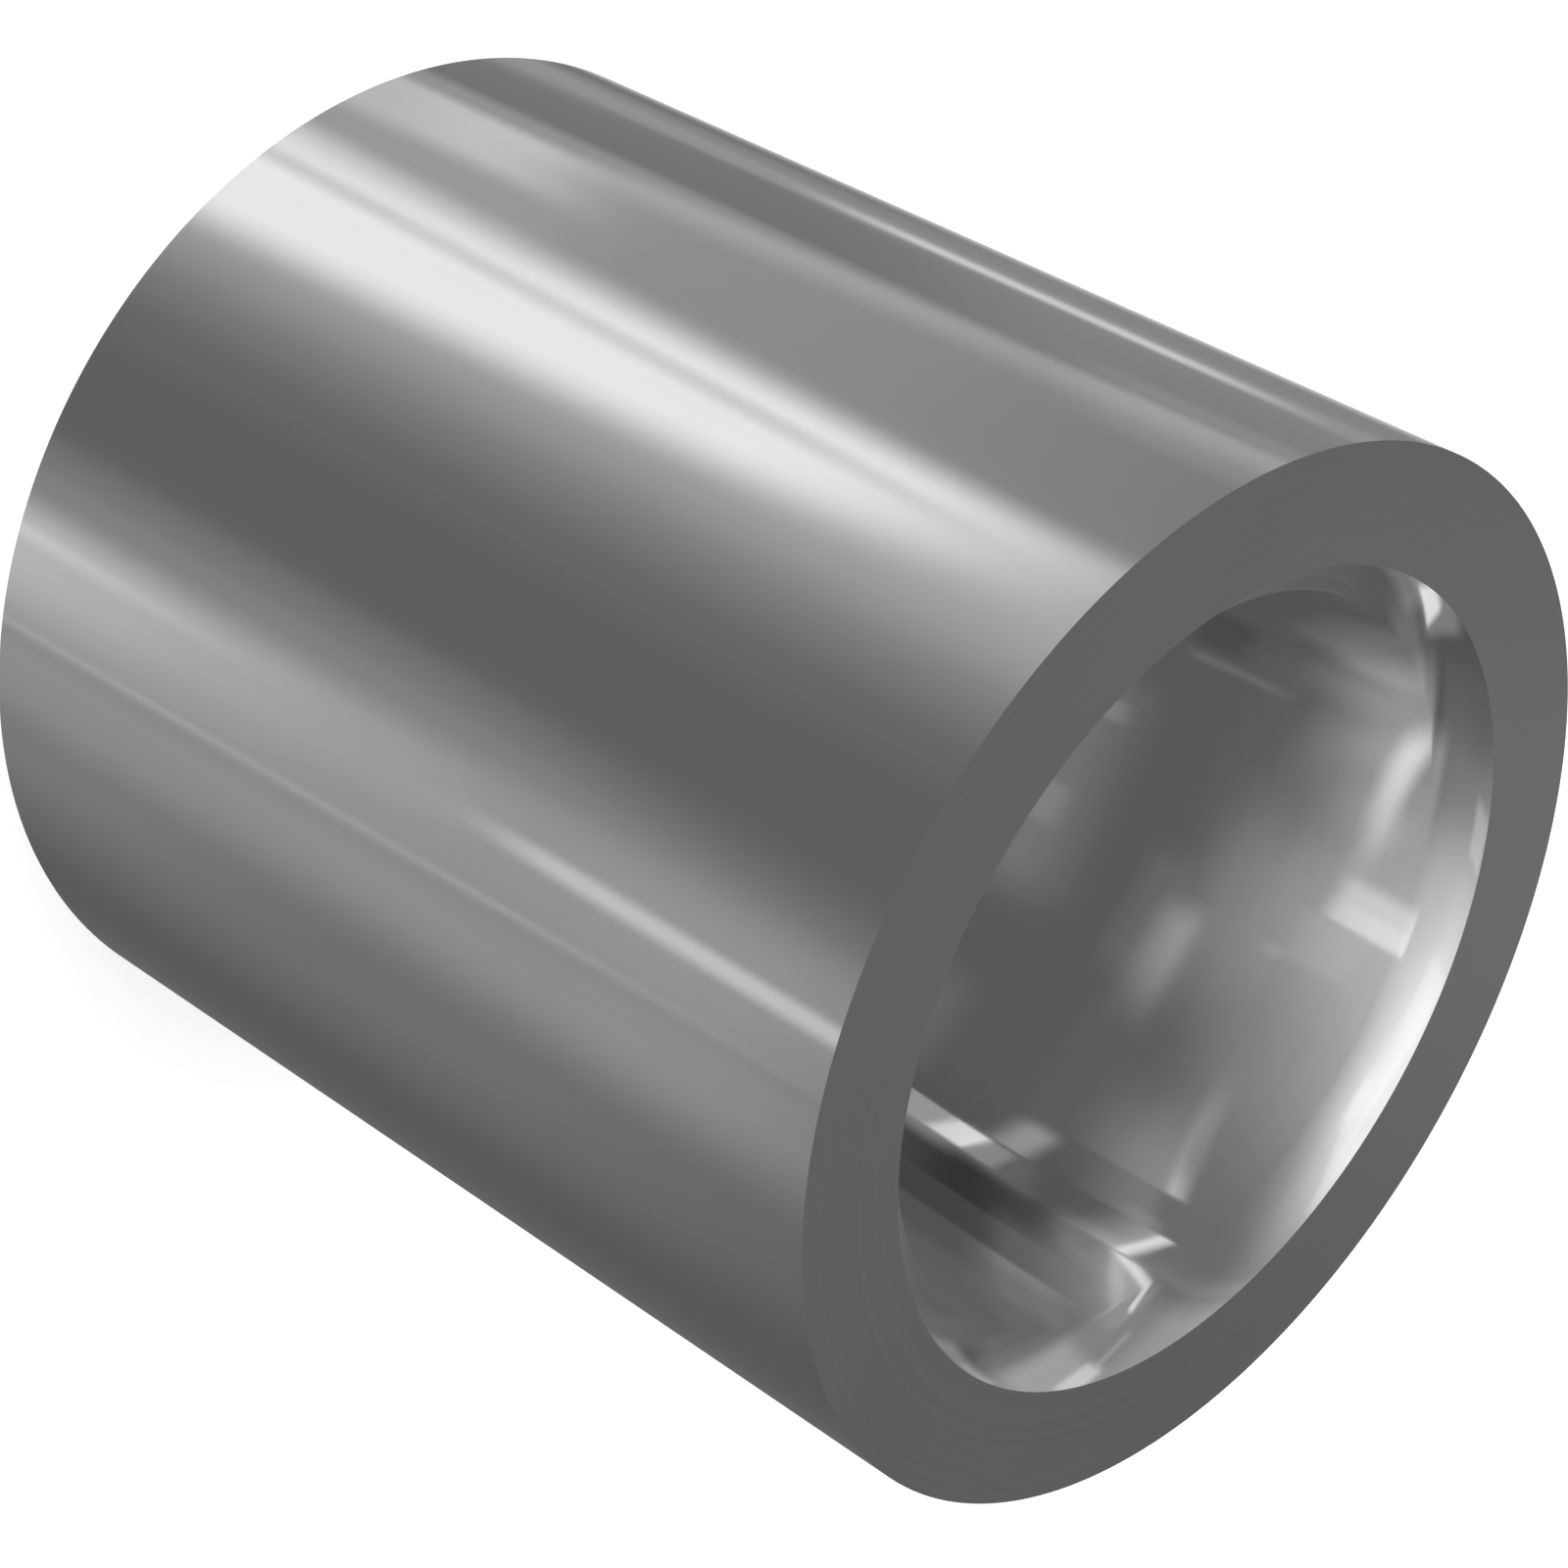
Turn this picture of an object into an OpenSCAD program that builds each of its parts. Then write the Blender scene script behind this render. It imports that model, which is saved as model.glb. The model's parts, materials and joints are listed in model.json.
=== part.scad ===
// Mounting tube: one piece of plain round steel tube.
// Both ends are cut square, with sharp outside corners.
// Each mouth of the bore has a conical lead-in, whose inner edge is rounded over into the bore.
// The tube stands on its lower end face, with its axis along Z. Sizes are in millimetres.

/* [Tube] */
// Outside diameter
outside_d = 20; // [16:0.5:60]
// Thickness of the wall, from the bore to the outside
wall = 3; // [2.5:0.1:6]
// Length from one end face to the other
tube_length = 21; // [12:0.5:120]

/* [Bore mouths] */
// Width of each lead-in, from the bore outwards
lead_in_w = 0.8; // [0.3:0.1:1.5]
// Slope of each lead-in, from the axis of the tube
lead_in_angle = 45; // [30:5:60]
// Radius that rounds the inner edge of each lead-in into the bore
lead_in_r = 0.4; // [0.1:0.05:0.8]

/* [Hidden] */
$fn = 240;

// Radii of the outside, of the bore and of the wide end of a lead-in
outside_r = outside_d / 2;
bore_r = outside_r - wall;
mouth_r = bore_r + lead_in_w;

// Depth and slant length of a lead-in, down to where its cone meets the bore
lead_in_depth = lead_in_w / tan(lead_in_angle);
lead_in_slant = lead_in_w / sin(lead_in_angle);

// The rounding takes up no more than this share of the cone, so that some cone is always left
cone_share = 0.8;
edge_r = min(lead_in_r, cone_share * lead_in_slant / tan(lead_in_angle / 2));

// Distance from the sharp inner edge to each end of the arc that rounds it
edge_setback = edge_r * tan(lead_in_angle / 2);

// Points of the lower mouth in the section, as [radius, height]
mouth_rim = [mouth_r, 0];
inner_edge = [bore_r, lead_in_depth];
arc_on_cone = inner_edge + edge_setback * [sin(lead_in_angle), -cos(lead_in_angle)];
arc_on_bore = inner_edge + edge_setback * [0, 1];
arc_centre = arc_on_bore + [edge_r, 0];

// The same point at the upper mouth
function at_top(point) = [point[0], tube_length - point[1]];

// Section of the wall, with the inner edge of each lead-in still sharp
module sharp_section() {
    polygon([
        mouth_rim,
        [outside_r, 0],
        [outside_r, tube_length],
        at_top(mouth_rim),
        at_top(inner_edge),
        inner_edge
    ]);
}

// What the rounding takes off the sharp inner edge of the lower mouth
module edge_trim() {
    inside_bore = inner_edge - [edge_r, 0];
    difference() {
        polygon([inside_bore, arc_on_cone, arc_centre, arc_on_bore]);
        translate(arc_centre) circle(r = edge_r);
    }
}

module wall_section() {
    difference() {
        sharp_section();
        edge_trim();
        translate([0, tube_length]) mirror([0, 1]) edge_trim();
    }
}

module tube() {
    color("#8d8f92") rotate_extrude() wall_section();
}

tube();
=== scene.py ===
"""Looks of a mounting tube: a short round steel tube that stands on its lower end face.

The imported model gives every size. One smooth mesh takes the place of the CAD node, with a polished
outside, faced ends and a polished bore. A pale floor keeps the tube's shadow, and the steel reflects the
light panels of a plain studio.
"""

import json
import logging
import math
from collections.abc import Callable
from dataclasses import dataclass
from enum import Enum, IntEnum

import bpy
from mathutils import Matrix, Vector

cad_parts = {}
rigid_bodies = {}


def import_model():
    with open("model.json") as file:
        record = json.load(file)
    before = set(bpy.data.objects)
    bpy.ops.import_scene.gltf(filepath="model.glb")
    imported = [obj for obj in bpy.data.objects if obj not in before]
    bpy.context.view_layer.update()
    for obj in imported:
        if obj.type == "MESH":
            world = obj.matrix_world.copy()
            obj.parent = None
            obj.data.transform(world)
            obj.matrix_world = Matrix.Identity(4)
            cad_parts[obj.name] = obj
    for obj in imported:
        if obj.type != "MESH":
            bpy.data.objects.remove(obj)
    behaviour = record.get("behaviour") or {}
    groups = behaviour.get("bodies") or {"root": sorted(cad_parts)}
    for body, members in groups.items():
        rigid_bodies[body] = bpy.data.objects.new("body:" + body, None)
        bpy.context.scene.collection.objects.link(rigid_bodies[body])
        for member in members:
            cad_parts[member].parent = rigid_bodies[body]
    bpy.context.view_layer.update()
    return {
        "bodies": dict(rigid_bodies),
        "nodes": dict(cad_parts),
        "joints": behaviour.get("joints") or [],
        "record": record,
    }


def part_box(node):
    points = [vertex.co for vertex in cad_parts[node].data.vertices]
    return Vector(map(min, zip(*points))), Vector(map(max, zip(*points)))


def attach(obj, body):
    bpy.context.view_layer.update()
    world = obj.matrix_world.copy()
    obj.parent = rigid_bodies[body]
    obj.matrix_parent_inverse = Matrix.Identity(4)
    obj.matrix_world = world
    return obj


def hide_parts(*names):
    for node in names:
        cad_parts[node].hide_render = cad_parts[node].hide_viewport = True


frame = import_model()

MM = 0.001
LOG = logging.getLogger("mounting_tube")

# Slope of each lead-in, from the axis of the tube
LEAD_IN_ANGLE = math.radians(45)
HALF_TURN = 180.0

# Number of light panels that one vector carries
RACK_SIZE = 3

# First vector socket of a Map Range node
FIRST_VECTOR_INPUT = 6

# Colour sockets of a Mix node: the two colours that go in, and the one that comes out
FIRST_COLOUR, SECOND_COLOUR, MIXED_COLOUR = 6, 7, 2


class Grain(Enum):
    """Which way the fine tool lines of a surface run."""

    ALONG_THE_WALL = "along the wall, as a last polish leaves them"
    ROUND_THE_WALL = "round the wall, as boring leaves them"
    ROUND_THE_FACE = "in circles on an end face, as facing leaves them"


class Zone(IntEnum):
    """The surfaces that have a finish of their own, in the order of the mesh's materials."""

    OUTSIDE = 0
    END = 1
    BORE = 2


class NodeSheet:
    """A node tree with short, typed calls for the nodes that the finishes and the studio share."""

    def __init__(self, tree: bpy.types.NodeTree) -> None:
        """Takes over a tree and empties it.

        Args:
            tree: The node tree of a material or of the world.
        """
        self.tree = tree
        self.tree.nodes.clear()

    def add(self, kind: str, **settings: object) -> bpy.types.Node:
        """Adds a node.

        Args:
            kind: The node's type name in Blender.
            **settings: Properties to set on the node.

        Returns:
            The new node.
        """
        node = self.tree.nodes.new(kind)
        for name, value in settings.items():
            setattr(node, name, value)
        return node

    def feed(self, socket: bpy.types.NodeSocket, value: object) -> None:
        """Links a socket to another one, or sets its value.

        Args:
            socket: The input to fill.
            value: An output socket, or a plain value.
        """
        if isinstance(value, bpy.types.NodeSocket):
            self.tree.links.new(value, socket)
        else:
            socket.default_value = value

    def sum_up(self, operation: str, *values: object) -> bpy.types.NodeSocket:
        """Works out one step of arithmetic.

        Args:
            operation: The name of the operation.
            *values: Output sockets or numbers, in the order that the operation takes them.

        Returns:
            The socket that carries the result.
        """
        node = self.add("ShaderNodeMath", operation=operation)
        for socket, value in zip(node.inputs, values):
            self.feed(socket, value)
        return node.outputs[0]

    def vector(self, operation: str, *values: object) -> bpy.types.NodeSocket:
        """Works out one step of arithmetic on all parts of a vector.

        Args:
            operation: The name of the operation.
            *values: Output sockets or vectors, in the order that the operation takes them.

        Returns:
            The socket that carries the result.
        """
        node = self.add("ShaderNodeVectorMath", operation=operation)
        for socket, value in zip(node.inputs, values):
            self.feed(socket, value)
        return node.outputs[0]

    def vector_ramp(
        self,
        value: bpy.types.NodeSocket,
        start: tuple[float, ...],
        end: tuple[float, ...],
    ) -> bpy.types.NodeSocket:
        """Turns each part of a vector into a smooth step from 0 to 1.

        Args:
            value: The socket to read.
            start: Where the steps leave 0.
            end: Where the steps reach 1, which may lie below start.

        Returns:
            The socket that carries the steps.
        """
        node = self.add(
            "ShaderNodeMapRange",
            data_type="FLOAT_VECTOR",
            interpolation_type="SMOOTHSTEP",
        )
        for socket, given in zip(node.inputs[FIRST_VECTOR_INPUT:], (value, start, end)):
            self.feed(socket, given)
        return node.outputs["Vector"]

    def blend(
        self,
        share: bpy.types.NodeSocket,
        first: bpy.types.NodeSocket,
        second: bpy.types.NodeSocket,
    ) -> bpy.types.NodeSocket:
        """Mixes two shaders.

        Args:
            share: How much of the second one shows, from 0 to 1.
            first: The first shader.
            second: The second shader.

        Returns:
            The socket that carries the mixed shader.
        """
        node = self.add("ShaderNodeMixShader")
        for socket, value in zip(node.inputs, (share, first, second)):
            self.feed(socket, value)
        return node.outputs[0]

    def ramp(
        self,
        value: bpy.types.NodeSocket,
        start: float,
        end: float,
        low: float = 0.0,
        high: float = 1.0,
    ) -> bpy.types.NodeSocket:
        """Turns a value into a smooth step.

        Args:
            value: The socket to read.
            start: Where the step leaves its low level.
            end: Where the step reaches its high level, which may lie below start.
            low: Level on the side of start.
            high: Level on the side of end.

        Returns:
            The socket that carries the step.
        """
        node = self.add("ShaderNodeMapRange", interpolation_type="SMOOTHSTEP")
        for socket, number in zip(node.inputs, (value, start, end, low, high)):
            self.feed(socket, number)
        return node.outputs[0]

    def noise(
        self,
        vector: bpy.types.NodeSocket,
        scale: float,
        detail: float = 2.0,
        dimensions: str = "3D",
    ) -> bpy.types.NodeSocket:
        """Adds a fractal noise.

        Args:
            vector: The position to read, or the single value for one dimension.
            scale: Number of cells in a unit.
            detail: Number of finer layers.
            dimensions: "3D", or "1D" for a noise along one value.

        Returns:
            The socket that carries the noise, from 0 to 1.
        """
        node = self.add("ShaderNodeTexNoise", noise_dimensions=dimensions)
        self.feed(node.inputs["W" if dimensions == "1D" else "Vector"], vector)
        node.inputs["Scale"].default_value = scale
        node.inputs["Detail"].default_value = detail
        return node.outputs[0]


@dataclass(frozen=True)
class SteelFinish:
    """Bare steel with fine tool lines.

    Attributes:
        name: Name of the material.
        grain: Which way the tool lines run.
        colour: Colour of the reflection, the record's own for the steel.
        smooth: Roughness on the brightest worn patches.
        rough: Roughness in the dullest patches.
        line_pitch: Usual distance between two tool lines, in metres.
        line_height: Height of a tool line, in metres.
        run: How much slower the lines change along a wall than across it.
        wander: How far a line round the tube strays, in line pitches.
        wander_size: Distance over which it strays, in metres.
        patch_size: Size of the duller and brighter patches, in metres.
        detail: Number of finer layers in the lines and patches.
        line_share: How much of the dullness follows the lines. The patches give the rest.
        dull_range: Where the sum of both counts as smooth, and where it counts as rough.
        tint: How far the colour strays from its middle, as a share of it.
    """

    name: str
    grain: Grain
    colour: tuple[float, float, float]
    smooth: float
    rough: float
    line_pitch: float
    line_height: float
    run: float = 0.02
    wander: float = 0.4
    wander_size: float = 9 * MM
    patch_size: float = 4 * MM
    detail: float = 3.0
    line_share: float = 0.35
    dull_range: tuple[float, float] = (0.3, 0.7)
    tint: float = 0.05

    def material(self) -> bpy.types.Material:
        """Builds the finish as a node material.

        Returns:
            The new material.
        """
        made = bpy.data.materials.new(self.name)
        made.use_nodes = True
        sheet = NodeSheet(made.node_tree)
        place = sheet.add("ShaderNodeTexCoord").outputs["Object"]
        lines = self._tool_lines(sheet, place)
        patches = sheet.noise(place, 1 / self.patch_size, self.detail)
        steel = sheet.add("ShaderNodeBsdfPrincipled")
        steel.inputs["Metallic"].default_value = 1.0
        sheet.feed(steel.inputs["Base Color"], self._tint(sheet, lines, patches))
        dullness = self._weigh(sheet, lines, patches, self.line_share)
        sheet.feed(
            steel.inputs["Roughness"],
            sheet.ramp(dullness, *self.dull_range, self.smooth, self.rough),
        )
        bump = sheet.add("ShaderNodeBump")
        bump.inputs["Strength"].default_value = 1.0
        bump.inputs["Distance"].default_value = self.line_height
        sheet.feed(bump.inputs["Height"], lines)
        sheet.feed(steel.inputs["Normal"], bump.outputs[0])
        out = sheet.add("ShaderNodeOutputMaterial")
        sheet.feed(out.inputs["Surface"], steel.outputs[0])
        return made

    def _tool_lines(
        self, sheet: NodeSheet, place: bpy.types.NodeSocket
    ) -> bpy.types.NodeSocket:
        """Draws the tool lines, which wander a little as they go round.

        Args:
            sheet: The material's node sheet.
            place: The position on the tube, in metres.

        Returns:
            The socket that carries the lines' height, from 0 to 1.
        """
        if self.grain is Grain.ALONG_THE_WALL:
            flat = sheet.vector("MULTIPLY", place, (1.0, 1.0, self.run))
            return sheet.noise(flat, 1 / self.line_pitch, self.detail)
        split = sheet.add("ShaderNodeSeparateXYZ")
        sheet.feed(split.inputs[0], place)
        across = split.outputs["Z"]
        if self.grain is Grain.ROUND_THE_FACE:
            square = sheet.sum_up("MULTIPLY", split.outputs["Y"], split.outputs["Y"])
            square = sheet.sum_up(
                "MULTIPLY_ADD", split.outputs["X"], split.outputs["X"], square
            )
            across = sheet.sum_up("SQRT", square)
        stray = sheet.noise(place, 1 / self.wander_size, detail=1.0)
        reach = self.wander * self.line_pitch
        across = sheet.sum_up("MULTIPLY_ADD", stray, reach, across)
        return sheet.noise(across, 1 / self.line_pitch, self.detail, dimensions="1D")

    @staticmethod
    def _weigh(
        sheet: NodeSheet,
        lines: bpy.types.NodeSocket,
        patches: bpy.types.NodeSocket,
        line_share: float,
    ) -> bpy.types.NodeSocket:
        """Adds up the tool lines and the patches.

        Args:
            sheet: The material's node sheet.
            lines: Height of the tool lines.
            patches: The larger, softer variation.
            line_share: Weight of the lines, from 0 to 1. The patches have the rest.

        Returns:
            The socket that carries the sum.
        """
        rest = sheet.sum_up("MULTIPLY", patches, 1 - line_share)
        return sheet.sum_up("MULTIPLY_ADD", lines, line_share, rest)

    def _tint(
        self,
        sheet: NodeSheet,
        lines: bpy.types.NodeSocket,
        patches: bpy.types.NodeSocket,
    ) -> bpy.types.NodeSocket:
        """Varies the colour a little along the tool lines and over larger patches.

        Args:
            sheet: The material's node sheet.
            lines: Height of the tool lines.
            patches: The larger, softer variation.

        Returns:
            The socket that carries the colour.
        """
        shade = self._weigh(sheet, lines, patches, line_share=0.5)
        mix = sheet.add("ShaderNodeMix", data_type="RGBA")
        sheet.feed(mix.inputs["Factor"], shade)
        dark = [(1 - self.tint) * part for part in self.colour]
        bright = [min(1.0, (1 + self.tint) * part) for part in self.colour]
        mix.inputs[FIRST_COLOUR].default_value = (*dark, 1.0)
        mix.inputs[SECOND_COLOUR].default_value = (*bright, 1.0)
        return mix.outputs[MIXED_COLOUR]


@dataclass
class Tube:
    """The tube, one solid of revolution that stands on its lower end face.

    Attributes:
        outside_r: Radius of the outside, in metres.
        bore_r: Radius of the bore, in metres.
        length: Distance between the end faces, in metres.
        steel: Colour of the steel, from the record.
        lead_in_w: Width of each lead-in, and its depth too, because it slopes at 45 degrees.
        edge_r: Radius that rounds the inner edge of each lead-in into the bore.
        sides: Number of flat strips round the tube.
        edge_steps: Number of steps across each rounded edge.
        bore_bands: Number of rings of faces between the two rounded edges.
    """

    outside_r: float
    bore_r: float
    length: float
    steel: tuple[float, float, float]
    lead_in_w: float = 0.8 * MM
    edge_r: float = 0.4 * MM
    sides: int = 384
    edge_steps: int = 6
    bore_bands: int = 8

    def finishes(self) -> dict[Zone, SteelFinish]:
        """Chooses the finish of each surface.

        Returns:
            The finishes of the outside, of the end faces, and of the bore with its lead-ins.
        """
        return {
            Zone.OUTSIDE: SteelFinish(
                name="polished_outside",
                grain=Grain.ALONG_THE_WALL,
                colour=self.steel,
                smooth=0.04,
                rough=0.08,
                line_pitch=0.8 * MM,
                line_height=0.0005 * MM,
            ),
            Zone.END: SteelFinish(
                name="faced_end",
                grain=Grain.ROUND_THE_FACE,
                colour=self.steel,
                smooth=0.13,
                rough=0.20,
                line_pitch=0.12 * MM,
                line_height=0.0001 * MM,
            ),
            Zone.BORE: SteelFinish(
                name="polished_bore",
                grain=Grain.ROUND_THE_WALL,
                colour=self.steel,
                smooth=0.03,
                rough=0.07,
                line_pitch=0.4 * MM,
                line_height=0.00002 * MM,
            ),
        }

    @classmethod
    def from_frame(cls, packed: dict) -> "Tube":
        """Reads the tube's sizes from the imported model.


        Returns:
            The tube, in the sizes of the CAD model.
        """
        record = packed["record"]
        low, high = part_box("tube")
        bore = next(m for m in record["mounts"] if m["name"] == "bore")
        steel = next(m for m in record["materials"] if m["slot"] == "steel")
        return cls(
            outside_r=high.x,
            bore_r=bore["dims"]["r_mm"] * MM,
            length=high.z - low.z,
            steel=tuple(steel["base_color"]),
        )

    def lower_mouth(self) -> list[tuple[float, float]]:
        """Gives the lower mouth's section, from the bore to the rim on the end face.

        Returns:
            Points as (radius, height), in metres.
        """
        setback = self.edge_r * math.tan(LEAD_IN_ANGLE / 2)
        centre_r = self.bore_r + self.edge_r
        centre_z = self.lead_in_w + setback
        points = []
        for step in range(self.edge_steps + 1):
            turn = LEAD_IN_ANGLE * step / self.edge_steps
            points.append(
                (
                    centre_r - self.edge_r * math.cos(turn),
                    centre_z - self.edge_r * math.sin(turn),
                )
            )
        points.append((self.bore_r + self.lead_in_w, 0.0))
        return points

    def section(self) -> list[tuple[float, float, Zone]]:
        """Gives the whole section, once round the wall.

        Returns:
            Points as (radius, height, surface of the strip that starts there).
        """
        lower = self.lower_mouth()
        upper = [(r, self.length - z) for r, z in reversed(lower)]
        points = [(r, z, Zone.BORE) for r, z in lower[:-1]]
        points.append((*lower[-1], Zone.END))
        points.append((self.outside_r, 0.0, Zone.OUTSIDE))
        points.append((self.outside_r, self.length, Zone.END))
        points += [(r, z, Zone.BORE) for r, z in upper]
        top, low = upper[-1][1], lower[0][1]
        for band in range(1, self.bore_bands):
            drop = (top - low) * band / self.bore_bands
            points.append((self.bore_r, top - drop, Zone.BORE))
        return points

    def bore_tilt(self, height: float) -> float:
        """Gives how far the shading of the bore leans, so that light runs on from lead-in to bore.

        Args:
            height: Height above the lower end face, in metres.

        Returns:
            The angle above the horizon, in radians: none halfway up, and 45 degrees at the upper rim.
        """
        half = LEAD_IN_ANGLE / 2
        from_middle = height - self.length / 2
        reach = self.length / 2 - self.lead_in_w
        past_edge = max(0.0, abs(from_middle) - reach)
        if past_edge:
            tilt = half + half * past_edge / self.lead_in_w
        else:
            tilt = half * abs(from_middle) / reach
        return math.copysign(tilt, from_middle)

    def build(self) -> bpy.types.Object:
        """Makes the tube's mesh and dresses it.

        Returns:
            The finished piece.
        """
        section = self.section()
        count = len(section)
        turns = [2 * math.pi * side / self.sides for side in range(self.sides)]
        spots = [
            (r * math.cos(turn), r * math.sin(turn), z)
            for turn in turns
            for r, z, _ in section
        ]
        faces, zones = [], []
        for side in range(self.sides):
            here, there = side * count, (side + 1) % self.sides * count
            for k, (_, _, zone) in enumerate(section):
                after = (k + 1) % count
                faces.append((here + k, there + k, there + after, here + after))
                zones.append(int(zone))
        mesh = bpy.data.meshes.new("mounting_tube")
        mesh.from_pydata(spots, [], faces)
        finishes = self.finishes()
        for zone in Zone:
            mesh.materials.append(finishes[zone].material())
        mesh.polygons.foreach_set("material_index", zones)
        self._shade(mesh, section, turns)
        piece = bpy.data.objects.new("mounting_tube", mesh)
        piece.visible_glossy = False
        bpy.context.scene.collection.objects.link(piece)
        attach(piece, "root")
        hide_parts("tube")
        return piece

    def _shade(
        self,
        mesh: bpy.types.Mesh,
        section: list[tuple[float, float, Zone]],
        turns: list[float],
    ) -> None:
        """Shades the mesh smooth, with crisp edges between surfaces and the bore's own shading.

        Args:
            mesh: The tube's mesh.
            section: The points of the section.
            turns: The angle of each copy of the section, in radians.
        """
        mesh.shade_smooth()
        zones: dict[tuple[int, int], set[int]] = {}
        for face in mesh.polygons:
            for key in face.edge_keys:
                zones.setdefault(key, set()).add(face.material_index)
        for edge in mesh.edges:
            edge.use_edge_sharp = len(zones[edge.key]) > 1
        normals = []
        for face in mesh.polygons:
            for spot in face.vertices:
                side, ring = divmod(spot, len(section))
                height = section[ring][1]
                normals.append(self._normal(face.material_index, turns[side], height))
        mesh.normals_split_custom_set(normals)

    def _normal(self, zone: int, turn: float, height: float) -> Vector:
        """Gives the direction that a corner of a face is shaded for.

        Args:
            zone: The surface that the face belongs to.
            turn: Angle round the axis, in radians.
            height: Height above the lower end face, in metres.

        Returns:
            The direction, of length 1.
        """
        if zone == Zone.END:
            return Vector((0, 0, math.copysign(1, height - self.length / 2)))
        outward = Vector((math.cos(turn), math.sin(turn), 0))
        if zone == Zone.OUTSIDE:
            return outward
        tilt = self.bore_tilt(height)
        return Vector((0, 0, math.sin(tilt))) - math.cos(tilt) * outward


@dataclass(frozen=True)
class LightPanel:
    """A soft panel of light in the studio, far away, as the steel reflects it.

    Angles are in degrees. An azimuth is counted from +X towards +Y, and an elevation from the horizon.

    Attributes:
        sides: Azimuths of its left and right edge.
        fades: Widths over which those two edges fade.
        heights: Elevations of its lower and upper edge.
        ends: Widths over which those two edges fade.
        level: Brightness that it adds, where 1 is the brightness of white paper.
        leans: How far the left and right edge move for a degree of elevation.
        mark: Elevation at which a leaning edge stands at its azimuth.
        tilt: How far the lower and upper edge rise for a degree of azimuth.
    """

    sides: tuple[float, float]
    fades: tuple[float, float]
    heights: tuple[float, float]
    ends: tuple[float, float]
    level: float
    leans: tuple[float, float] = (0.0, 0.0)
    mark: float = -40.0
    tilt: float = 0.0

    @property
    def middle(self) -> float:
        """Azimuth halfway between the left and right edge."""
        return sum(self.sides) / 2

    def side_fade(self, end: int) -> tuple[float, float]:
        """Gives the fade of the left or right edge, as azimuths from the middle.

        Args:
            end: 0 for the left edge, 1 for the right one.

        Returns:
            Where the light is gone, and where it is full.
        """
        sign = 2 * end - 1
        half = (self.sides[1] - self.sides[0]) / 2
        fade = self.fades[end] / 2
        return sign * (half + fade), sign * (half - fade)

    def height_fade(self, end: int) -> tuple[float, float]:
        """Gives the fade of the lower or upper edge, as elevations.

        Args:
            end: 0 for the lower edge, 1 for the upper one.

        Returns:
            Where the light is gone, and where it is full.
        """
        sign = 2 * end - 1
        fade = self.ends[end] / 2
        return self.heights[end] + sign * fade, self.heights[end] - sign * fade


@dataclass(frozen=True)
class PanelRack:
    """Up to three light panels, each worked out in its own part of one vector.

    Attributes:
        panels: The panels.
    """

    panels: tuple[LightPanel, ...]

    def parts(self, read: Callable[[LightPanel], float]) -> tuple[float, ...]:
        """Puts one value of each panel in a vector.

        Args:
            read: Gives the value of a panel.

        Returns:
            The values, with 0 for a panel that is missing.
        """
        values = [float(read(panel)) for panel in self.panels]
        return tuple(values + [0.0] * (RACK_SIZE - len(values)))

    def add_light(
        self,
        sheet: NodeSheet,
        azimuth: bpy.types.NodeSocket,
        elevation: bpy.types.NodeSocket,
        light: object,
    ) -> bpy.types.NodeSocket:
        """Adds the panels to the light of the studio.

        Args:
            sheet: The world's node sheet.
            azimuth: Azimuth that is looked along, in degrees.
            elevation: Elevation that is looked along, in degrees.
            light: Light gathered so far, as a vector whose parts add up to it.

        Returns:
            The socket that carries the light with these panels.
        """
        off = sheet.vector("SUBTRACT", azimuth, self.parts(lambda p: p.middle))
        off = sheet.vector(
            "WRAP", off, (HALF_TURN,) * RACK_SIZE, (-HALF_TURN,) * RACK_SIZE
        )
        rise = sheet.vector("SUBTRACT", elevation, self.parts(lambda p: p.mark))
        height = self._slant(sheet, elevation, off, lambda p: -p.tilt)
        glow = self.parts(lambda p: p.level)
        for end in (0, 1):
            side = self._slant(sheet, off, rise, lambda p: -p.leans[end])
            for value, fade in (
                (side, lambda p: p.side_fade(end)),
                (height, lambda p: p.height_fade(end)),
            ):
                gone = self.parts(lambda p: fade(p)[0])
                full = self.parts(lambda p: fade(p)[1])
                step = sheet.vector_ramp(value, gone, full)
                glow = sheet.vector("MULTIPLY", step, glow)
        return sheet.vector("ADD", glow, light)

    def _slant(
        self,
        sheet: NodeSheet,
        value: bpy.types.NodeSocket,
        run: bpy.types.NodeSocket,
        read: Callable[[LightPanel], float],
    ) -> bpy.types.NodeSocket:
        """Slants the edges of the panels, where one of them asks for it.

        Args:
            sheet: The world's node sheet.
            value: The angle across the edge.
            run: The angle along the edge.
            read: Gives how far a panel's edge moves for a degree along it, with the sign turned round.

        Returns:
            The socket that carries the angle across the slanted edge.
        """
        slopes = self.parts(read)
        if not any(slopes):
            return value
        return sheet.vector("MULTIPLY_ADD", run, slopes, value)


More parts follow.
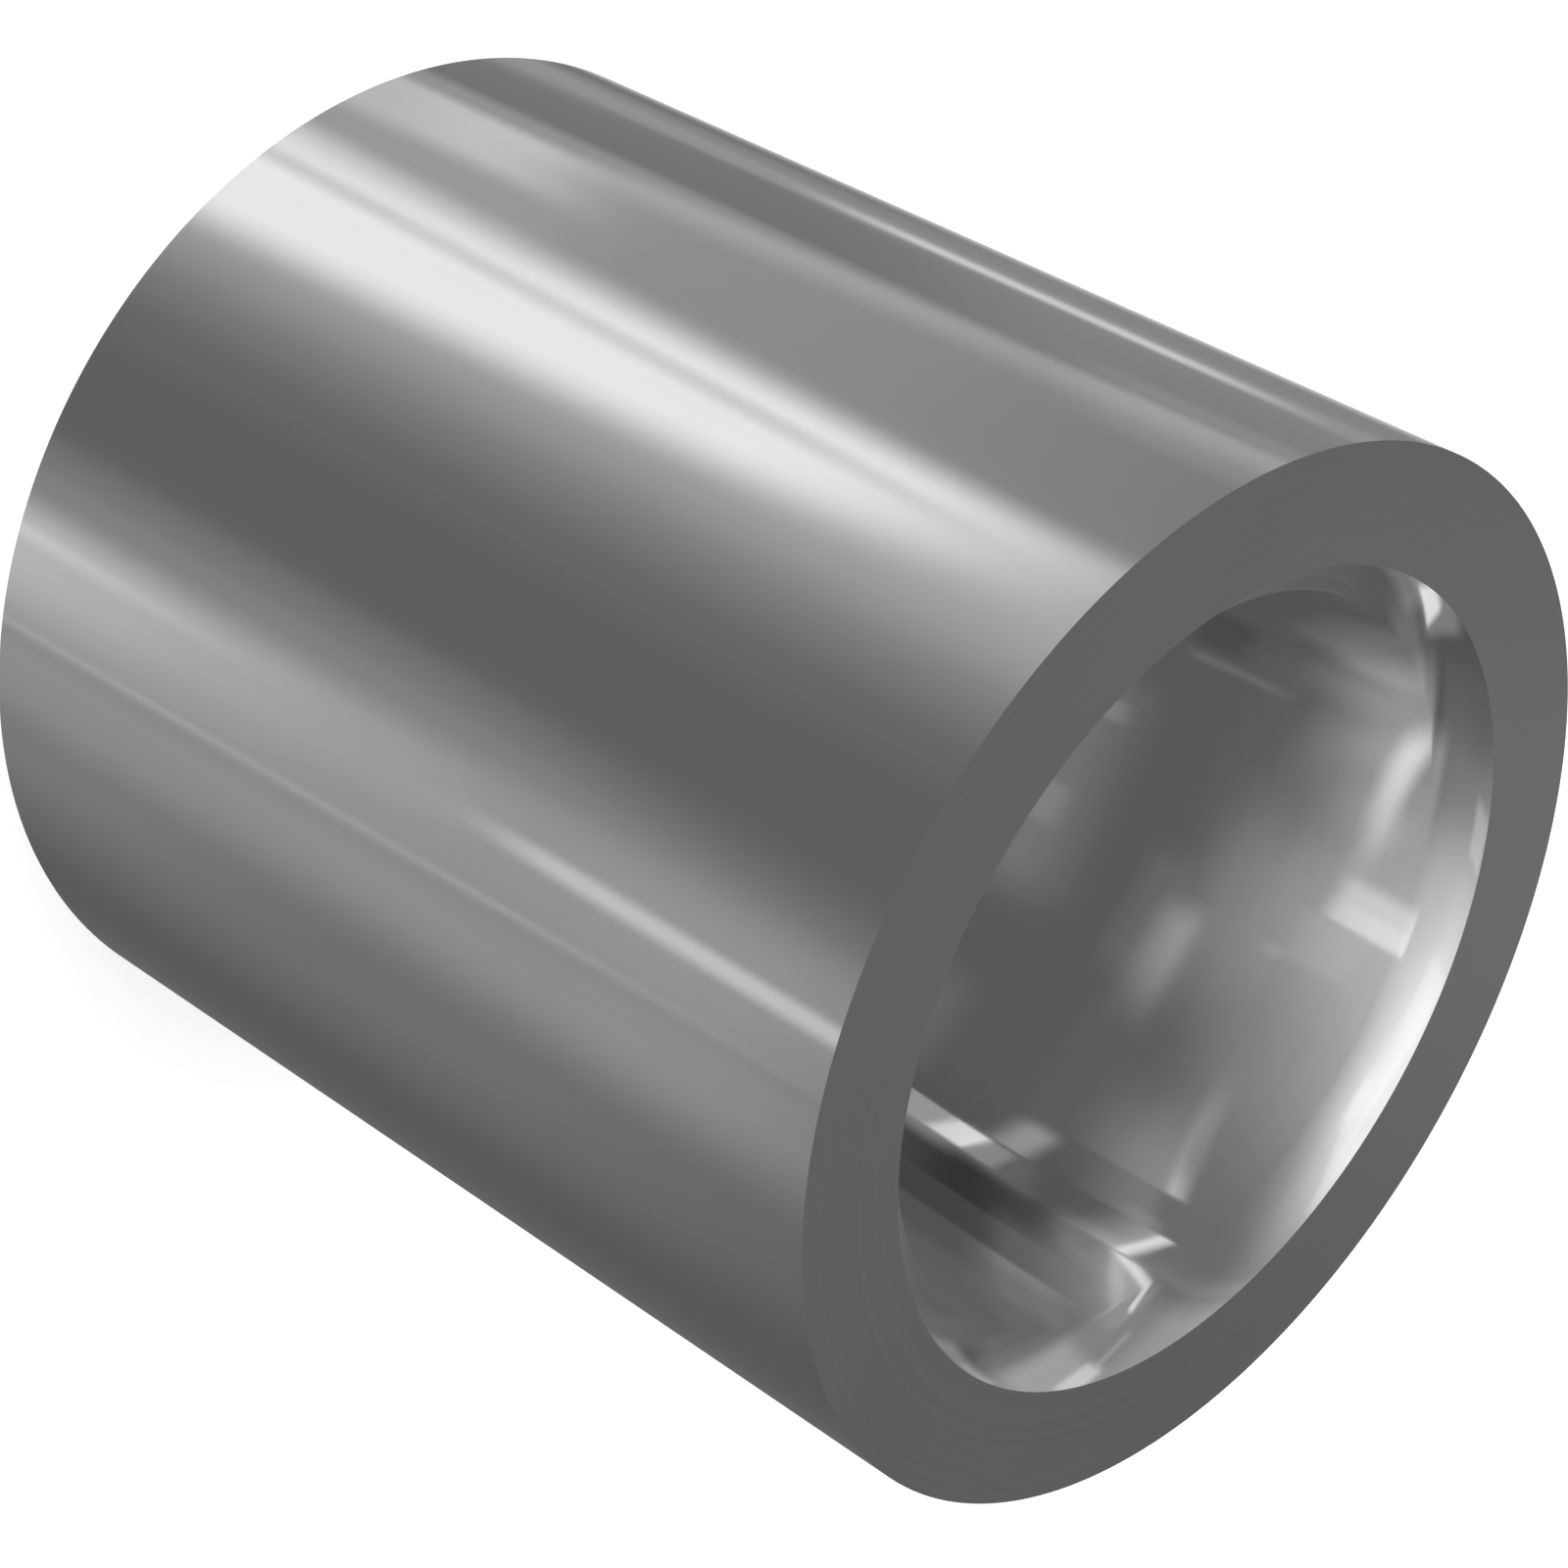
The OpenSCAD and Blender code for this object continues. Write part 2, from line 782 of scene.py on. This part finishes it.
@dataclass
class Studio:
    """The pale floor, the soft lamp over it and the light panels that the steel reflects.

    Attributes:
        ambient: Brightness between the panels.
        room: Brightness with which the room lights the floor.
        floor_size: Length of the floor's sides, in metres.
        floor_grey: How much of the light the floor gives back.
        floor_glow: Brightness that the floor has for the camera on top of that.
        lamp_spot: Where the lamp hangs, in metres.
        lamp_width: Width of the lamp, in metres.
        lamp_power: Power of the lamp, in watts.
        low_edge: Elevations between which the light panels give way to the low ones.
        panels: The light panels round and over the tube, which the bore reflects.
        low_panels: The light panels near the floor, which the outside reflects.
    """

    ambient: float = 0.15
    room: float = 0.3
    floor_size: float = 1.2
    floor_grey: float = 0.8
    floor_glow: float = 0.45
    lamp_spot: tuple[float, float, float] = (-0.05, -0.05, 0.5)
    lamp_width: float = 0.5
    lamp_power: float = 2.4
    low_edge: tuple[float, float] = (-28.0, -31.0)
    panels: tuple[LightPanel, ...] = (
        # Soft box over the camera, and the ceiling that it washes
        LightPanel((230, 333), (78, 85), (25, 90), (70, 1), 1.10, leans=(-0.42, -0.3), mark=50.0),
        LightPanel((237, 312), (10, 6), (40.5, 57), (5, 5), 0.17, leans=(-2, 0), mark=50.0, tilt=0.10),
        LightPanel((227, 247), (12, 18), (53, 70), (6, 4), 0.26, leans=(-1.5, 0), mark=50.0),
        LightPanel((250, 300), (24, 40), (22, 41), (24, 6), 0.11),
        LightPanel((253, 270), (8, 8), (38, 47), (5, 6), 0.13),
        LightPanel((345, 360), (4, 6), (38.5, 48), (4, 3), 0.25, tilt=-0.3),
        LightPanel((150, 385), (50, 40), (44, 90), (34, 1), 0.23),
        LightPanel((188, 345), (4, 30), (2, 90), (14, 1), 0.11),
        LightPanel((285, 334), (40, 36), (4, 30), (14, 24), 0.18),
        LightPanel((270, 323), (40, 40), (-6, 4), (8, 8), 0.15),
        LightPanel((330, 372), (30, 30), (10, 60), (12, 20), 0.06),
        LightPanel((358, 394), (20, 20), (8, 50), (6, 20), 0.05),
        LightPanel((60, 120), (20, 20), (8, 90), (8, 1), 0.06),
        # Tall soft box with a step in its side, and the strip light that runs on from it
        LightPanel((303.5, 317), (2.5, 6), (7.2, 23), (2.4, 2), 0.38),
        LightPanel((303.5, 310), (2, 2), (9, 23), (3, 2), 0.12),
        LightPanel((286, 289.5), (2.5, 2.5), (3.4, 5.4), (1.6, 1.6), 0.08),
        LightPanel((288, 303), (6, 3), (5.5, 13), (4, 3), 0.08),
        LightPanel((336, 370), (36, 20), (3.1, 5.5), (2.4, 1.8), 0.68, tilt=-0.105),
        LightPanel((317, 340), (10, 12), (6, 8.8), (2, 3), 0.10),
        LightPanel((346, 369), (12, 10), (5.6, 12), (3, 6), 0.09),
        LightPanel((352, 381), (12, 12), (-1, 3.6), (4, 2), 0.08),
        LightPanel((342, 395), (40, 26), (-3.4, 4), (8, 6), 0.28),
        LightPanel((332, 372), (20, 16), (2, 12), (6, 8), 0.17),
        # Strip light to its left, and what it washes
        LightPanel((212.8, 219), (1.4, 12), (6.1, 7.8), (1.2, 1.4), 0.30),
        LightPanel((212.6, 246), (1.4, 20), (5.9, 8.3), (1.6, 1.2), 0.13),
        LightPanel((212.6, 231), (1.2, 30), (-2, 6.8), (10, 1.0), 0.19),
        LightPanel((200, 212.6), (1, 1.2), (-1, 5.4), (8, 2.5), 0.11),
        LightPanel((200, 204), (1, 3), (3, 6.8), (3, 1), 0.09),
        # Oval lamp
        LightPanel((260, 286), (30, 12), (-8.3, -4.2), (5, 3), 0.25),
        LightPanel((262, 298), (12, 12), (-13, -7.5), (4, 4), 0.05),
        # Reflector on the left, and its bright corner
        LightPanel((116, 186), (16, 24), (-1, 90), (12, 1), 0.24),
        LightPanel((124, 151), (12, 10), (3.5, 26), (9, 6), 0.22),
        LightPanel((140, 187), (20, 26), (26, 90), (12, 1), 0.14),
        LightPanel((136.5, 151.5), (4, 4), (17.6, 24.2), (3.4, 3), 0.40),
        LightPanel((152, 168), (4, 5), (19.2, 21.6), (1.5, 1.5), 0.14, tilt=-0.12),
        LightPanel((164, 186), (6, 6), (6, 13), (5, 4), 0.10),
        LightPanel((166, 189), (14, 2), (1.5, 6), (3, 4), 0.12),
        LightPanel((118, 162.5), (10, 1), (-10.5, -2), (6, 6), 0.08),
        LightPanel((146, 163), (10, 2), (-9.5, -3.5), (4, 4), 0.06),
        LightPanel((96, 150), (10, 12), (-20, -9), (8, 6), 0.04),
        LightPanel((109.2, 114), (2.4, 5), (-11, 6), (6, 2), 0.21, leans=(1, 0.75), mark=-4.0),
        LightPanel((110, 113), (2.4, 4), (-3.4, 6), (2, 2), 0.14, leans=(1, 0.75), mark=-4.0),
        # Dark flag, and the small bright panel beside it
        LightPanel((158, 178), (6, 8), (-9, -3.5), (3, 4), 0.06),
        LightPanel((163.5, 189), (2, 2), (-30, -9), (8, 8), -0.05),
        LightPanel((175, 188.5), (1, 2), (-17, -3.5), (6, 6), -0.04),
        LightPanel((186.5, 190), (5, 1), (-28, -15.5), (4, 4), 0.22),
        LightPanel((190, 198.3), (1, 1), (-28, -13.5), (4, 0.8), 0.38, tilt=0.28),
        LightPanel((190.4, 198.3), (1.6, 1), (-17.3, -13.5), (2, 0.8), 0.64, tilt=0.28),
        LightPanel((190, 198.3), (1, 1), (-14, -10.2), (1.5, 1.4), 0.21, tilt=0.2),
        LightPanel((199.3, 210.4), (1, 6), (-11.2, -7.4), (3.2, 2.4), 0.34, tilt=0.2),
        LightPanel((187, 199), (4, 4), (-15, -7), (3, 4), 0.06),
        # Strip lights that meet over the flag
        LightPanel((188.5, 200), (1, 1), (4.6, 6.1), (1.0, 1.0), 0.80, tilt=0.37),
        LightPanel((188.5, 200), (1, 1), (1.8, 5.4), (7, 1), 0.32, tilt=0.37),
        LightPanel((173, 187.5), (3, 1), (6.0, 8.7), (2, 2), 0.70, tilt=-0.48),
        LightPanel((166, 188), (14, 1), (2.2, 3.8), (1.0, 1.0), 0.18),
        LightPanel((177, 188.5), (10, 1), (2.4, 5.4), (1.2, 1.6), 0.14),
        LightPanel((160, 189), (10, 1), (-4, 2.5), (4, 3), 0.06),
        LightPanel((178, 192), (6, 2), (-3, 3), (3, 2), 0.05),
        # Small soft box on the right, and the reflector round it
        LightPanel((51.2, 63.2), (4.5, 5), (1.2, 7.4), (1.7, 3), 0.90, leans=(0.8, 0), mark=4.0),
        LightPanel((45.5, 80), (6, 10), (0.5, 14), (5, 6), 0.20),
        LightPanel((57, 80), (8, 10), (-6, 2), (6, 4), 0.13),
        LightPanel((22, 28), (8, 8), (-8, -3), (4, 4), 0.12),
        LightPanel((9, 38), (14, 14), (-8, -1), (6, 4), 0.15),
        LightPanel((26, 60), (10, 24), (-12, -2), (6, 6), 0.12),
        LightPanel((358.5, 361.5), (3, 3), (-18, -9), (2, 5), 0.07),
        LightPanel((4, 20), (8, 8), (-19, -14), (3, 3), -0.05),
        # Soft patches that the end face reflects
        LightPanel((91.5, 97.5), (6, 6), (22, 29.2), (4, 2.5), 0.065),
        LightPanel((76, 87.5), (8, 6), (22, 31.5), (6, 3), -0.03),
        # Faint spill near the floor
        LightPanel((205, 380), (30, 40), (-80, -2), (1, 6), 0.025),
        LightPanel((205, 380), (30, 40), (-11, -2), (4, 6), 0.015),
        LightPanel((268, 342), (20, 12), (-30, -22), (2, 12), 0.13),
        LightPanel((326.8, 334), (3, 3), (-30, -22), (2, 4), 0.12),
        LightPanel((289, 302), (5, 3), (-30, -24.5), (2, 3), 0.08),
        LightPanel((204, 236), (10, 20), (-30, -23), (2, 6), 0.06),
    )
    low_panels: tuple[LightPanel, ...] = (
        # Low soft box, the bar across it and the glow beside it
        LightPanel((200.2, 225), (12, 13), (-80, -34.6), (1, 6), 0.76, leans=(1, -0.35), tilt=-0.14),
        LightPanel((207.0, 211.0), (3.5, 4), (-80, -36), (1, 4), -0.36, leans=(0.68, 0.68)),
        LightPanel((204, 239), (10, 36), (-80, -30), (1, 6), 0.48),
        LightPanel((245, 262), (10, 12), (-80, -30), (1, 1), 0.035),
        # Low reflector on the left, with its slim lamps
        LightPanel((117, 205), (12, 14), (-80, -27), (1, 6), 0.13),
        LightPanel((104, 120), (10, 8), (-38, -27), (6, 4), 0.08),
        LightPanel((122, 137), (8, 8), (-80, -27), (1, 6), 0.05),
        LightPanel((125, 140), (6, 10), (-80, -42), (1, 3), 0.08),
        LightPanel((137, 158), (4, 8), (-37, -27), (4, 4), 0.07),
        LightPanel((152, 172), (6, 6), (-34.6, -26), (2, 2), 0.08),
        LightPanel((158, 204), (5, 10), (-80, -34), (1, 16), 0.20),
        LightPanel((164.4, 182), (5, 8), (-80, -41.8), (1, 2), 0.33),
        LightPanel((166, 181), (4, 6), (-43.9, -42), (1.4, 1.2), 0.09),
        LightPanel((182, 196), (6, 6), (-46, -41.5), (3, 2), 0.08),
        LightPanel((162.2, 169.4), (4, 9), (-42, -28), (3, 4), 0.15, leans=(-0.6, -0.6)),
        LightPanel((127.6, 136.6), (6, 3), (-42, -29), (3, 4), 0.09),
        LightPanel((130.9, 134.9), (4.5, 3), (-38.4, -32.6), (2.5, 3), 0.46),
        LightPanel((97.5, 109), (4, 18), (-80, -27), (1, 6), 0.48, leans=(0.4, 0)),
        # Low reflector on the right, with its slim lamps
        LightPanel((298, 350), (28, 22), (-80, -32), (1, 7), 0.27),
        LightPanel((301, 326), (12, 20), (-80, -29), (1, 4), 0.05),
        LightPanel((288, 299), (6, 4), (-80, -38), (1, 6), 0.045),
        LightPanel((305, 329), (8, 18), (-80, -44), (1, 9), 0.30),
        LightPanel((306, 321), (6, 8), (-80, -39.4), (1, 3), 0.05),
        LightPanel((309.5, 312.5), (2, 4), (-80, -44), (1, 5), 0.22),
        LightPanel((312.8, 316.8), (3, 3.4), (-38.6, -30), (2, 2), 0.42),
        LightPanel((329.2, 330.6), (1.5, 1.5), (-80, -36), (1, 6), 0.12, leans=(-0.5, -0.5)),
        LightPanel((331.6, 334.4), (1.5, 3), (-80, -30), (1, 4), -0.035, leans=(-0.5, -0.5)),
        LightPanel((346, 372), (8, 20), (-80, -42), (1, 5), 0.05),
        LightPanel((350, 390), (20, 36), (-80, -33), (1, 10), 0.07),
        # Faint spill near the floor
        LightPanel((205, 380), (30, 40), (-80, -20), (1, 1), 0.055),
    )

    def build(self) -> bpy.types.Object:
        """Sets up the world, the lamp and the floor.

        Returns:
            The floor.
        """
        self._dress_world()
        self._hang_lamp()
        return self._lay_floor()

    def _dress_world(self) -> None:
        """Paints the surroundings: plain to the camera and the floor, and the panels to the steel.

        The low panels have a background of their own, so that a reflection works out one group only.
        """
        world = bpy.data.worlds.new("studio")
        bpy.context.scene.world = world
        world.use_nodes = True
        sheet = NodeSheet(world.node_tree)
        path = sheet.add("ShaderNodeLightPath").outputs
        white = sheet.ramp(path["Is Camera Ray"], 0.0, 1.0, self.room, 1.0)
        ahead = sheet.add("ShaderNodeTexCoord").outputs["Generated"]
        split = sheet.add("ShaderNodeSeparateXYZ")
        sheet.feed(split.inputs[0], ahead)
        east, north, up = split.outputs
        azimuth = sheet.sum_up("DEGREES", sheet.sum_up("ARCTAN2", north, east))
        elevation = sheet.sum_up("DEGREES", sheet.sum_up("ARCSINE", up))
        high, low = (
            self._background(sheet, self._panel_light(sheet, azimuth, elevation, panels))
            for panels in (self.panels, self.low_panels)
        )
        lit = sheet.blend(sheet.ramp(elevation, *self.low_edge), high, low)
        plain = self._background(sheet, white)
        out = sheet.add("ShaderNodeOutputWorld")
        sheet.feed(out.inputs["Surface"], sheet.blend(path["Is Glossy Ray"], plain, lit))

    @staticmethod
    def _background(
        sheet: NodeSheet, strength: bpy.types.NodeSocket
    ) -> bpy.types.NodeSocket:
        """Adds a white background.

        Args:
            sheet: The world's node sheet.
            strength: Its brightness.

        Returns:
            The socket that carries the background.
        """
        light = sheet.add("ShaderNodeBackground")
        light.inputs["Color"].default_value = (1.0, 1.0, 1.0, 1.0)
        sheet.feed(light.inputs["Strength"], strength)
        return light.outputs[0]

    def _panel_light(
        self,
        sheet: NodeSheet,
        azimuth: bpy.types.NodeSocket,
        elevation: bpy.types.NodeSocket,
        panels: tuple[LightPanel, ...],
    ) -> bpy.types.NodeSocket:
        """Adds up the light of a group of panels.

        Args:
            sheet: The world's node sheet.
            azimuth: Azimuth that is looked along, in degrees.
            elevation: Elevation that is looked along, in degrees.
            panels: The panels of the group.

        Returns:
            The socket that carries the light in the direction that is looked along.
        """
        upright_first = sorted(panels, key=lambda p: (any(p.leans), p.tilt != 0))
        light = (self.ambient, 0.0, 0.0)
        for first in range(0, len(panels), RACK_SIZE):
            rack = PanelRack(tuple(upright_first[first : first + RACK_SIZE]))
            light = rack.add_light(sheet, azimuth, elevation, light)
        total = sheet.add("ShaderNodeVectorMath", operation="DOT_PRODUCT")
        sheet.feed(total.inputs[0], light)
        sheet.feed(total.inputs[1], (1.0, 1.0, 1.0))
        return total.outputs["Value"]

    def _hang_lamp(self) -> None:
        """Hangs the large soft lamp that lights the floor and casts the tube's soft shadow."""
        lamp = bpy.data.lights.new("soft_lamp", "AREA")
        lamp.shape = "DISK"
        lamp.size = self.lamp_width
        lamp.energy = self.lamp_power
        hung = bpy.data.objects.new("soft_lamp", lamp)
        hung.location = self.lamp_spot
        hung.rotation_euler = Vector(self.lamp_spot).to_track_quat("Z", "Y").to_euler()
        hung.visible_camera = False
        hung.visible_glossy = False
        bpy.context.scene.collection.objects.link(hung)

    def _lay_floor(self) -> bpy.types.Object:
        """Lays the floor, which is seen from above only and leaves reflections to the studio.

        Returns:
            The floor.
        """
        half = self.floor_size / 2
        corners = [(-half, -half), (half, -half), (half, half), (-half, half)]
        mesh = bpy.data.meshes.new("floor")
        mesh.from_pydata([(x, y, 0.0) for x, y in corners], [], [(0, 1, 2, 3)])
        mesh.materials.append(self._floor_paint())
        floor = bpy.data.objects.new("floor", mesh)
        bpy.context.scene.collection.objects.link(floor)
        return floor

    def _floor_paint(self) -> bpy.types.Material:
        """Builds the floor's paint: white to the camera, with the shadow on it.

        Returns:
            The new material.
        """
        made = bpy.data.materials.new("floor_paint")
        made.use_nodes = True
        sheet = NodeSheet(made.node_tree)
        path = sheet.add("ShaderNodeLightPath").outputs
        paint = sheet.add("ShaderNodeBsdfDiffuse")
        paint.inputs["Color"].default_value = (*(self.floor_grey,) * 3, 1.0)
        glow = sheet.add("ShaderNodeEmission")
        sheet.feed(
            glow.inputs["Strength"],
            sheet.sum_up("MULTIPLY", path["Is Camera Ray"], self.floor_glow),
        )
        both = sheet.add("ShaderNodeAddShader")
        sheet.feed(both.inputs[0], paint.outputs[0])
        sheet.feed(both.inputs[1], glow.outputs[0])
        under = sheet.add("ShaderNodeNewGeometry").outputs["Backfacing"]
        through = sheet.sum_up("MAXIMUM", path["Is Glossy Ray"], under)
        clear = sheet.add("ShaderNodeBsdfTransparent").outputs[0]
        out = sheet.add("ShaderNodeOutputMaterial")
        sheet.feed(out.inputs["Surface"], sheet.blend(through, both.outputs[0], clear))
        return made


@dataclass
class Viewpoint:
    """The camera, at the photograph's viewing angle.

    Attributes:
        eye: Where the camera stands, in outside radii from the centre of the upper end face.
        down: How far below the horizon it looks, along +Y, in degrees.
        roll: How far it is turned about the line of sight, in degrees.
        lens: Focal length, in millimetres.
        sensor: Width of the sensor, in millimetres.
        reach: Nearest and farthest thing that it sees, in distances to the tube.
    """

    eye: tuple[float, float, float] = (0.0542, -6.5537, 3.7277)
    down: float = 35.819
    roll: float = 119.267
    lens: float = 100.27
    sensor: float = 36.0
    reach: tuple[float, float] = (0.1, 100.0)

    def build(self, tube: Tube) -> bpy.types.Object:
        """Sets up the camera.

        Args:
            tube: The tube that it looks at.

        Returns:
            The camera.
        """
        data = bpy.data.cameras.new("camera")
        data.lens = self.lens
        data.sensor_width = self.sensor
        camera = bpy.data.objects.new("camera", data)
        bpy.context.scene.collection.objects.link(camera)
        bpy.context.scene.camera = camera
        down, roll = math.radians(self.down), math.radians(self.roll)
        level = Vector((1, 0, 0))
        upright = Vector((0, math.sin(down), math.cos(down)))
        right = math.cos(roll) * level + math.sin(roll) * upright
        over = math.cos(roll) * upright - math.sin(roll) * level
        back = right.cross(over)
        spot = Vector(self.eye) * tube.outside_r + Vector((0, 0, tube.length))
        turned = Matrix((right, over, back)).transposed().to_4x4()
        camera.matrix_world = Matrix.Translation(spot) @ turned
        data.clip_start, data.clip_end = (part * spot.length for part in self.reach)
        return camera


def main() -> None:
    """Builds the camera, the tube and the studio, and notes each on the log."""
    logging.basicConfig(level=logging.INFO, format="%(name)s: %(message)s")
    bpy.context.scene.view_settings.view_transform = "Standard"
    tube = Tube.from_frame(frame)
    camera = Viewpoint().build(tube)
    LOG.info("camera: lens %.1f mm", camera.data.lens)
    piece = tube.build()
    LOG.info("%s: %d faces", piece.name, len(piece.data.polygons))
    studio = Studio()
    floor = studio.build()
    count = len(studio.panels) + len(studio.low_panels)
    LOG.info("%s: %d panels of light around it", floor.name, count)


if __name__ == "__main__":
    main()
